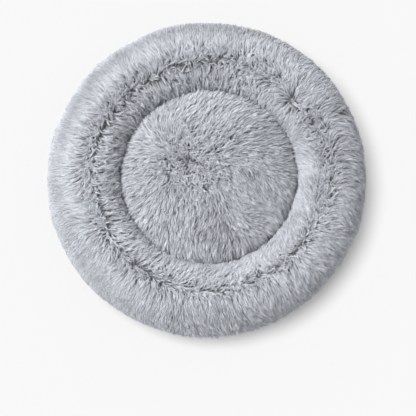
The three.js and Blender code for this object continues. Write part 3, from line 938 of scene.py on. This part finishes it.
def woven_material(name, dark, light, thread, uv=None, roughness=0.8):
    """A plain weave: threads of a width that pass over and under each other."""
    material, shader = new_material(name, roughness, specular=0.25)
    threads = []
    for length in plane(material, uv):
        turn = math_node(material, "MULTIPLY", length, math.pi / thread)
        threads.append(math_node(material, "SINE", turn))
    warp, weft = (math_node(material, "ABSOLUTE", wave) for wave in threads)
    over = math_node(material, "GREATER_THAN", math_node(material, "MULTIPLY", *threads), 0.0)
    under = math_node(material, "SUBTRACT", 1.0, over)
    shown_warp = math_node(material, "MULTIPLY", warp, over)
    shown_weft = math_node(material, "MULTIPLY", weft, under)
    height = math_node(material, "ADD", shown_warp, shown_weft)
    finish_weave(material, shader, height, dark, light, thread / 3)
    return material


def herringbone_material(name, dark, light, rib, uv):
    """Slanting ribs that turn back at the middle of each band of the tape."""
    material, shader = new_material(name, 0.8, specular=0.25)
    across, along = plane(material, uv)
    fold = math_node(material, "PINGPONG", across, 3 * rib)
    slant = math_node(material, "ADD", along, fold)
    wave = math_node(material, "SINE", math_node(material, "MULTIPLY", slant, 2 * math.pi / rib))
    height = math_node(material, "ADD", math_node(material, "MULTIPLY", wave, 0.5), 0.5)
    finish_weave(material, shader, height, dark, light, rib / 3)
    return material


def plane(material, uv):
    """Two lengths across a surface, in metres: from a UV layer, or else the object's X and Y."""
    nodes = material.node_tree.nodes
    if uv:
        place = nodes.new("ShaderNodeUVMap")
        place.uv_map = uv
        source = place.outputs["UV"]
    else:
        source = nodes.new("ShaderNodeTexCoord").outputs["Object"]
    parts = nodes.new("ShaderNodeSeparateXYZ")
    material.node_tree.links.new(source, parts.inputs[0])
    return parts.outputs["X"], parts.outputs["Y"]


def cast_material(name, tint, roughness, metallic):
    """Cast metal or moulded plastic: small changes in colour and gloss, and fine dents."""
    material, shader = new_material(name, roughness, metallic)
    grain = noise(material, 700, 6)
    low, high = (tuple(share * part for part in tint) for share in (0.8, 1.1))
    paint(material, shader, grain, [(0.3, low), (0.7, high)])
    gloss = math_node(material, "MULTIPLY", grain, 2 * roughness)
    material.node_tree.links.new(gloss, shader.inputs["Roughness"])
    emboss(material, shader, grain, 0.3, 0.1 * MM)
    return material


# ---- the object ----

def dress(obj, material, body, nodes=()):
    obj.data.materials.clear()
    obj.data.materials.append(material)
    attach(obj, body)
    if nodes:
        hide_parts(*nodes)


def build_cover():
    backing = cloth_material("plush_backing", (0.26, 0.27, 0.29), (0.34, 0.35, 0.375), 900)
    pile = plush_material()
    rim, cushion = rim_form(), cushion_form()
    off_seam = np.abs(around(section_angle(rim.points), CREST_SEAM))
    stands = rim.points[..., 2] < BASE_TOP + STANDING
    stuff(rim, np.maximum(CREST_HOLD * (off_seam < CREST_HOLD_HALF), stands))
    stuff(cushion, (cushion.points[..., 2] < CREASE_HEIGHT).astype(float))
    rim_skin = form_mesh(rim, "rim_backing_cloth")
    dress(rim_skin, backing, "bed")
    cushion_skin = form_mesh(cushion, "cushion_backing_cloth")
    dress(cushion_skin, backing, "bed")
    right, left = PANEL_JOINS
    panels = [
        ("rim_outer_panel_front", 1, (left, right)),
        ("rim_outer_panel_back", 1, (right, left)),
        ("rim_inner_panel_front", -1, (left, right)),
        ("rim_inner_panel_back", -1, (right, left)),
    ]
    for node, side, angles in panels:
        plant(comb_rim(rim, side, angles, rng), node, pile, rng)
    plant(comb_cushion(cushion, rng), "cushion_top_panel", pile, rng)
    return rim, cushion


CASE_INSET = 4 * MM  # of each insert's case, inside the cover
FILLING_INSET = 7 * MM


def build_inserts(rim, cushion):
    liner = cloth_material("liner_cloth", (0.8, 0.8, 0.79), (0.9, 0.9, 0.89), 700)
    fibre = cloth_material("fibre_filling", (0.85, 0.85, 0.83), (0.95, 0.95, 0.94), 250)
    for form, part in ((rim, "rim"), (cushion, "pad")):
        case = form_mesh(form, f"{part}_insert_case_cloth", CASE_INSET)
        dress(case, liner, "bed", [f"{part}_insert_case"])
        filling = form_mesh(form, f"{part}_insert_filling_fibre", FILLING_INSET)
        dress(filling, fibre, "bed", [f"{part}_insert_filling"])


# ---- the base ----

def swept(name, outline, angles, step, wave=0.0):
    """A closed band: an outline of [radius, height] points swept between two angles.

    wave is how far it wanders in height. Its UVs are lengths along and across it."""
    outline = np.array(outline)
    low, high = np.radians(angles)
    whole = high - low > 2 * np.pi - 1e-6
    middle = outline[:, 0].mean()
    count = max(3, round((high - low) * middle / step))
    turn = np.linspace(low, high, count if whole else count + 1, endpoint=not whole)
    lift = wave * ripple(np.stack([np.cos(turn), np.sin(turn), 0 * turn], axis=1), 0.05, 31)
    radius, height = outline[:, 0], outline[None, :, 1] + lift[:, None]
    x, y = np.cos(turn)[:, None] * radius, np.sin(turn)[:, None] * radius
    verts = np.stack([x, y, np.broadcast_to(height, x.shape)], axis=2).reshape(-1, 3)
    sides = len(outline)
    edges = np.linalg.norm(np.roll(outline, -1, 0) - outline, axis=1)
    across = np.concatenate([[0], np.cumsum(edges)])
    faces, uv = [], []
    for i in range(count):
        near, far = i * sides, (i + 1) % len(turn) * sides
        left = turn[i] * middle
        right = (turn[i] + (high - low) / count) * middle
        for j in range(sides):
            k = (j + 1) % sides
            faces.append([near + j, far + j, far + k, near + k])
            uv += [[across[j], left], [across[j], right]]
            uv += [[across[j + 1], right], [across[j + 1], left]]
    if not whole:
        last = (len(turn) - 1) * sides
        faces += [list(range(sides)), list(range(last, last + sides))[::-1]]
        uv += [[0, 0]] * (2 * sides)
    return mesh_object(name, verts, faces, uv)


def placed(points, along, side, out, shape):
    """Copies of a shape, an array of local [along, side, out] points, one at each point."""
    moved = (
        points[:, None] + along[:, None] * shape[None, :, :1]
        + side[:, None] * shape[None, :, 1:2] + out[:, None] * shape[None, :, 2:]
    )
    return moved.reshape(-1, 3)


def repeated(faces, count, size):
    return [[corner + i * size for corner in face] for i in range(count) for face in faces]


def lathe_shape(rings, sides):
    """Local points and faces of a small closed form: rings of [radius, along] and two ends."""
    turn = np.arange(sides) * 2 * np.pi / sides
    shape = [[along, r * math.cos(a), r * math.sin(a)] for r, along in rings[1:-1] for a in turn]
    shape += [[rings[0][1], 0, 0], [rings[-1][1], 0, 0]]
    start, end = len(shape) - 2, len(shape) - 1
    last = (len(rings) - 3) * sides
    faces = []
    for j in range(sides):
        k = (j + 1) % sides
        faces.append([start, k, j])
        faces.append([last + j, last + k, end])
        for ring in range(len(rings) - 3):
            low, high = ring * sides, (ring + 1) * sides
            faces.append([low + j, low + k, high + k, high + j])
    return np.array(shape, float), faces


STITCH = 3 * MM
STITCH_PITCH = 4 * MM
THREAD = 0.35 * MM  # radius


def stitches(name, radius, height, outward, angles):
    """A row of stitches round the bed, on a surface that faces outward ([radius, height])."""
    low, high = np.radians(angles)
    count = round((high - low) * radius / STITCH_PITCH)
    turn = low + (np.arange(count) + 0.5) * (high - low) / count
    c, s, none = np.cos(turn), np.sin(turn), 0 * turn
    points = np.stack([radius * c, radius * s, none + height], axis=1)
    along = np.stack([-s, c, none], axis=1)
    out = np.stack([outward[0] * c, outward[0] * s, none + outward[1]], axis=1)
    half = STITCH / 2
    end = THREAD * 0.8
    rings = [(0, -half), (end, -half * 0.8), (THREAD, 0), (end, half * 0.8), (0, half)]
    shape, faces = lathe_shape(rings, 6)
    verts = placed(points, along, np.cross(out, along), out, shape)
    return mesh_object(name, verts, repeated(faces, count, len(shape)))


BASE_COLUMNS = 288  # points round the base cloth
PUCKER_REACH = 28 * MM  # from the base's edge
# Each set of puckers: how many round the bed, and how high.
PUCKERS = [(72, 0.25 * MM), (41, 0.15 * MM)]
PUCKER_LIFT = 0.4 * MM


def base_cloth():
    """The base cloth, drawn into small puckers where it is sewn to the rim."""
    plain = np.linspace(0, BASE_RADIUS - 30 * MM, 20)
    puckered = np.linspace(BASE_RADIUS - 26 * MM, BASE_RADIUS, 12)
    radii = np.concatenate([plain, puckered])
    columns = BASE_COLUMNS
    turn = np.arange(columns) * 2 * np.pi / columns
    pucker = sum(height * np.cos(turn * number) for number, height in PUCKERS)
    layers = []
    for radius in radii[1:]:
        share = float(smooth(radius, BASE_RADIUS - PUCKER_REACH, BASE_RADIUS))
        height = BASE_LOW + share * (pucker + PUCKER_LIFT)
        layers.append(np.stack([radius * np.cos(turn), radius * np.sin(turn), height], axis=1))
    under = np.concatenate(layers)
    over = under + [0, 0, BASE_TOP - BASE_LOW]
    verts = np.concatenate([under, over, [[0, 0, BASE_LOW], [0, 0, BASE_TOP]]])
    rings, half = len(radii) - 1, len(under)
    faces = []
    for j in range(columns):
        k = (j + 1) % columns
        faces.append([2 * half, k, j])
        faces.append([2 * half + 1, half + j, half + k])
        for ring in range(rings - 1):
            a, b = ring * columns, (ring + 1) * columns
            faces.append([a + j, a + k, b + k, b + j])
            faces.append([half + b + j, half + b + k, half + a + k, half + a + j])
        edge = (rings - 1) * columns
        faces.append([edge + j, edge + k, half + edge + k, half + edge + j])
    return mesh_object("base_panel_cloth", verts, faces)


GRIP_PITCH = 11 * MM
GRIP_DOT = 1.7 * MM  # radius


def grip_dots():
    """Soft dots in rows under the base cloth, each a low dome that touches the floor."""
    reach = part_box("base_grip_coating")[1].x - GRIP_DOT
    top = BASE_LOW + 0.1 * MM
    step = GRIP_PITCH * math.sqrt(3) / 2
    rows = int(reach / step)
    points = []
    for row in range(-rows, rows + 1):
        y = row * step
        half = math.sqrt(max(0, reach ** 2 - y ** 2))
        offset = GRIP_PITCH / 2 * (row % 2)
        for x in np.arange(-reach, reach + GRIP_PITCH, GRIP_PITCH) + offset:
            if abs(x) <= half:
                points.append([x, y, top])
    points = np.array(points)
    shoulder = (GRIP_DOT * 0.9, top * 0.55)
    crown = (GRIP_DOT * 0.5, top * 0.92)
    shape, faces = lathe_shape([(0, 0), (GRIP_DOT, 0), shoulder, crown, (0, top)], 10)
    axes = [[0, 0, -1.0]], [[1.0, 0, 0]], [[0, -1.0, 0]]
    spread = [np.repeat(axis, len(points), axis=0) for axis in axes]
    verts = placed(points, *spread, shape)
    return mesh_object("base_grip_dots", verts, repeated(faces, len(points), len(shape)))


BINDING_HALF = 2.3 * MM  # of its width
BINDING_POINTS = 12  # round its section
LABEL_ANGLE = 205
LABEL_WIDTH = 24 * MM
LABEL_REACH = 31 * MM  # out from the binding
LABEL_THICK = 0.3 * MM


def squared_off(share):
    """A cosine or sine, drawn out so that a circle becomes nearly a square."""
    return math.copysign(abs(share) ** 0.7, share)


def binding_outline(radius, low, high):
    """A folded tape's section: nearly square, with round corners."""
    middle = (low + high) / 2
    half_high = (high - low) / 2
    outline = []
    for turn in np.arange(BINDING_POINTS) * 2 * math.pi / BINDING_POINTS:
        wide = squared_off(math.cos(turn)) * BINDING_HALF
        outline.append([radius + wide, middle + squared_off(math.sin(turn)) * half_high])
    return outline


def build_base():
    cloth = woven_material("base_oxford", (0.055, 0.058, 0.065), (0.17, 0.177, 0.195), 0.9 * MM)
    rubber = cast_material("grip_rubber", (0.045, 0.047, 0.05), 0.5, 0.0)
    tape = herringbone_material(
        "binding_tape", (0.16, 0.168, 0.185), (0.34, 0.355, 0.39), 0.8 * MM, "cloth",
    )
    thread = woven_material("sewing_thread", (0.3, 0.31, 0.335), (0.5, 0.515, 0.55), 0.2 * MM)
    satin = woven_material(
        "label_satin", (0.5, 0.5, 0.49), (0.72, 0.72, 0.71), 0.25 * MM, "cloth", roughness=0.4,
    )
    dress(base_cloth(), cloth, "bed", ["base_panel"])
    dress(grip_dots(), rubber, "bed", ["base_grip_coating"])
    low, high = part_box("base_seam_binding")
    radius = high.x - BINDING_HALF
    outline = binding_outline(radius, low.z, high.z)
    binding = swept("base_seam_binding_tape", outline, (0, 360), 4 * MM, 0.1 * MM)
    dress(binding, tape, "bed", ["base_seam_binding"])
    sewing = stitches("base_seam_stitches", radius, low.z + 0.1 * MM, (0, -1), (0, 360))
    dress(sewing, thread, "bed")
    dress(care_label(radius + BINDING_HALF), satin, "bed", ["care_label"])


def care_label(start):
    """A blank folded ribbon that comes out of the base seam and droops to the floor."""
    low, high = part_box("care_label")
    steps, columns = 12, 8
    turn = math.radians(LABEL_ANGLE)
    out = np.array([math.cos(turn), math.sin(turn), 0])
    side = np.array([-math.sin(turn), math.cos(turn), 0])
    sheet = []
    for i in range(steps + 1):
        run = i / steps
        droop = (high.z - 1 * MM) * (1 - run) ** 2 + low.z
        for j in range(columns + 1):
            across = j / columns - 0.5
            curl = 0.5 * MM * run * math.cos(across * math.pi * 2)
            flat = out * (start + LABEL_REACH * run) + side * LABEL_WIDTH * across
            sheet.append(flat + [0, 0, droop + curl])
    sheet = np.array(sheet)
    verts = np.concatenate([sheet, sheet + [0, 0, LABEL_THICK]])
    half, row = len(sheet), columns + 1
    faces, uv = [], []
    for i in range(steps):
        for j in range(columns):
            a = i * row + j
            corners = [a, a + 1, a + row + 1, a + row]
            faces += [corners, [corner + half for corner in corners[::-1]]]
    rim = list(range(row)) + [i * row + columns for i in range(1, steps + 1)]
    rim += [steps * row + j for j in range(columns - 1, -1, -1)]
    rim += [i * row for i in range(steps - 1, 0, -1)]
    for a, b in zip(rim, rim[1:] + rim[:1]):
        faces.append([b, a, a + half, b + half])
    for face in faces:
        for corner in face:
            offset = verts[corner] - out * start
            uv.append([float(offset @ side), float(offset @ out)])
    return mesh_object("care_label_ribbon", verts, faces, uv)


# ---- the zip ----

ZIP_FOOT = rim_point(ZIP_SECTION[0], ZIP_DEPTH)
ZIP_HEAD = rim_point(ZIP_SECTION[1], ZIP_DEPTH)
ZIP_HALF = float(np.linalg.norm(ZIP_HEAD - ZIP_FOOT)) / 2
ZIP_UP = (ZIP_HEAD - ZIP_FOOT) / (2 * ZIP_HALF)
ZIP_OUT = np.array([ZIP_UP[1], -ZIP_UP[0]])
ZIP_MIDDLE = (ZIP_HEAD + ZIP_FOOT) / 2
TAPE_HALF = 0.45 * MM  # of its thickness
TAPE_EDGE = 3.7 * MM  # from the zip's middle to each tape's inner edge
CHAIN_INSET = 1.2  # degrees of bare tape before each end of the chain
COIL_PITCH = 1.5 * MM
COIL_MIDDLE = 2.1 * MM
COIL_HALF = (1.05 * MM, 0.85 * MM)  # up the slope, and out from it
COIL_WIRE = 0.33 * MM  # radius
COIL_STEPS = 8  # to one turn
WIRE_SIDES = 5
# How far each tape goes on past the opening, and how far in: the upper one behind the plush, and
# the lower one behind the binding.
TAPE_TUCK = {1: (7 * MM, 2.4 * MM), -1: (1.5 * MM, 0.5 * MM)}
STITCH_PLACE = 3.2 * MM  # from each tape's inner edge


def zip_point(up, out):
    return (ZIP_MIDDLE + ZIP_UP * up + ZIP_OUT * out).tolist()


def zip_tape(name, side):
    """One tape: a strip with a corded inner edge, that bends in behind the plush or the binding."""
    cord = TAPE_EDGE + 0.8 * MM
    near = side * TAPE_EDGE
    edge = side * ZIP_HALF
    thick = TAPE_HALF
    reach, tuck_in = TAPE_TUCK[side]
    tuck = side * (ZIP_HALF + reach)
    outline = [
        zip_point(near, thick * 1.1), zip_point(side * cord, thick * 1.5),
        zip_point(side * (cord + 1.2 * MM), thick), zip_point(edge, thick),
        zip_point(tuck, thick - tuck_in), zip_point(tuck, -thick - tuck_in),
        zip_point(edge, -thick), zip_point(near, -thick),
    ]
    return swept(name, outline if side < 0 else outline[::-1], ZIP_ARC, 3 * MM)


def zip_coil(name, side):
    """A nylon monofilament wound into a long flattened helix."""
    low, high = ZIP_ARC[0] + CHAIN_INSET, ZIP_ARC[1] - CHAIN_INSET
    length = math.radians(high - low) * ZIP_MIDDLE[0]
    turns = round(length / COIL_PITCH)
    count = turns * COIL_STEPS
    # The lower coil's turns lie between the upper one's.
    wind = np.arange(count + 1) * 2 * np.pi / COIL_STEPS + (0 if side > 0 else np.pi)
    turn = np.radians(np.linspace(low, high, count + 1))
    sides = WIRE_SIDES
    around_wire = np.arange(sides) * 2 * np.pi / sides
    reach = COIL_WIRE * np.cos(around_wire)
    slide = COIL_WIRE * np.sin(around_wire)
    up = side * COIL_MIDDLE + (COIL_HALF[0] + reach[None]) * np.cos(wind)[:, None]
    out = (COIL_HALF[1] + reach[None]) * np.sin(wind)[:, None]
    radius = ZIP_MIDDLE[0] + ZIP_UP[0] * up + ZIP_OUT[0] * out
    height = ZIP_MIDDLE[1] + ZIP_UP[1] * up + ZIP_OUT[1] * out
    c, s = np.cos(turn)[:, None], np.sin(turn)[:, None]
    verts = np.stack([radius * c - slide * s, radius * s + slide * c, height], axis=2)
    faces = []
    for i in range(count):
        near, far = i * sides, (i + 1) * sides
        for j in range(sides):
            k = (j + 1) % sides
            faces.append([near + j, near + k, far + k, far + j])
    faces += [list(range(sides))[::-1], list(range(count * sides, (count + 1) * sides))]
    return mesh_object(name, verts.reshape(-1, 3), faces)


def build_zip():
    tape = herringbone_material(
        "zip_tape_cloth", (0.2, 0.21, 0.23), (0.38, 0.395, 0.43), 0.7 * MM, "cloth",
    )
    nylon = cast_material("coil_nylon", (0.26, 0.27, 0.3), 0.35, 0.0)
    metal = cast_material("zip_metal", (0.36, 0.365, 0.38), 0.42, 1.0)
    thread = woven_material("zip_thread", (0.25, 0.26, 0.28), (0.45, 0.465, 0.5), 0.2 * MM)
    for side, part in ((1, "upper"), (-1, "lower")):
        strip = zip_tape(f"zip_tape_{part}_cloth", side)
        dress(strip, tape, "bed", [f"zip_tape_{part}"])
        coil = zip_coil(f"zip_coil_{part}_wire", side)
        dress(coil, nylon, "bed", [f"zip_coil_{part}"])
        radius, height = zip_point(side * (TAPE_EDGE + STITCH_PLACE), TAPE_HALF)
        row = stitches(f"zip_stitches_{part}", radius, height, ZIP_OUT, ZIP_ARC)
        dress(row, thread, "bed")
    for node in ("zip_top_stop", "zip_bottom_stop", "zip_slider", "zip_pull"):
        part = bpy.data.objects[node]
        part.data.materials.clear()
        part.data.materials.append(metal)


# ---- the studio ----

def build_floor():
    bpy.ops.mesh.primitive_plane_add(size=12)
    floor = bpy.context.object
    floor.name = "floor"
    material, shader = new_material("floor_paper", 0.9, specular=0.0)
    shader.inputs["Base Color"].default_value = (0.16, 0.16, 0.161, 1)
    shader.inputs["Emission Color"].default_value = (1, 1, 1, 1)
    shader.inputs["Emission Strength"].default_value = 0.27
    floor.data.materials.append(material)
    return floor


def build_sun(name, energy, spread, azimuth, elevation, floor, on_floor):
    """A sun that lights only the floor, or everything else."""
    sun = bpy.data.lights.new(name, "SUN")
    sun.energy = energy
    sun.angle = math.radians(spread)
    lamp = bpy.data.objects.new(name, sun)
    bpy.context.scene.collection.objects.link(lamp)
    azimuth, elevation = math.radians(azimuth), math.radians(elevation)
    source = Vector((
        math.cos(azimuth) * math.cos(elevation),
        math.sin(azimuth) * math.cos(elevation),
        math.sin(elevation),
    ))
    lamp.rotation_euler = source.to_track_quat("Z", "Y").to_euler()
    lit = bpy.data.collections.new(f"{name}_lights")
    lit.objects.link(floor)
    lit.collection_objects[0].light_linking.link_state = "INCLUDE" if on_floor else "EXCLUDE"
    lamp.light_linking.receiver_collection = lit


def build_light(floor):
    world = bpy.data.worlds.new("studio")
    bpy.context.scene.world = world
    world.use_nodes = True
    sky = world.node_tree.nodes["Background"]
    sky.inputs["Color"].default_value = (0.98, 0.985, 1.0, 1)
    sky.inputs["Strength"].default_value = 0.5
    build_sun("key", energy=3.9, spread=22, azimuth=158, elevation=55, floor=floor, on_floor=False)
    # The floor has its own, higher sun, for a close soft shadow.
    build_sun("floor_key", energy=12, spread=27, azimuth=182, elevation=76, floor=floor, on_floor=True)


def build_camera():
    camera = bpy.data.cameras.new("camera")
    camera.lens = 120
    camera.sensor_width = 36
    camera.clip_end = 20
    body = bpy.data.objects.new("camera", camera)
    bpy.context.scene.collection.objects.link(body)
    elevation = math.radians(80)
    aim = Vector((3.4 * MM, -58.7 * MM, RIM_CENTRE))
    distance = 2.588
    offset = Vector((0, -math.cos(elevation), math.sin(elevation))) * distance
    body.location = aim + offset
    body.rotation_euler = offset.to_track_quat("Z", "Y").to_euler()
    bpy.context.scene.camera = body
    bpy.context.scene.view_settings.view_transform = "Standard"


rim, cushion = build_cover()
build_inserts(rim, cushion)
build_base()
build_zip()
build_light(build_floor())
build_camera()
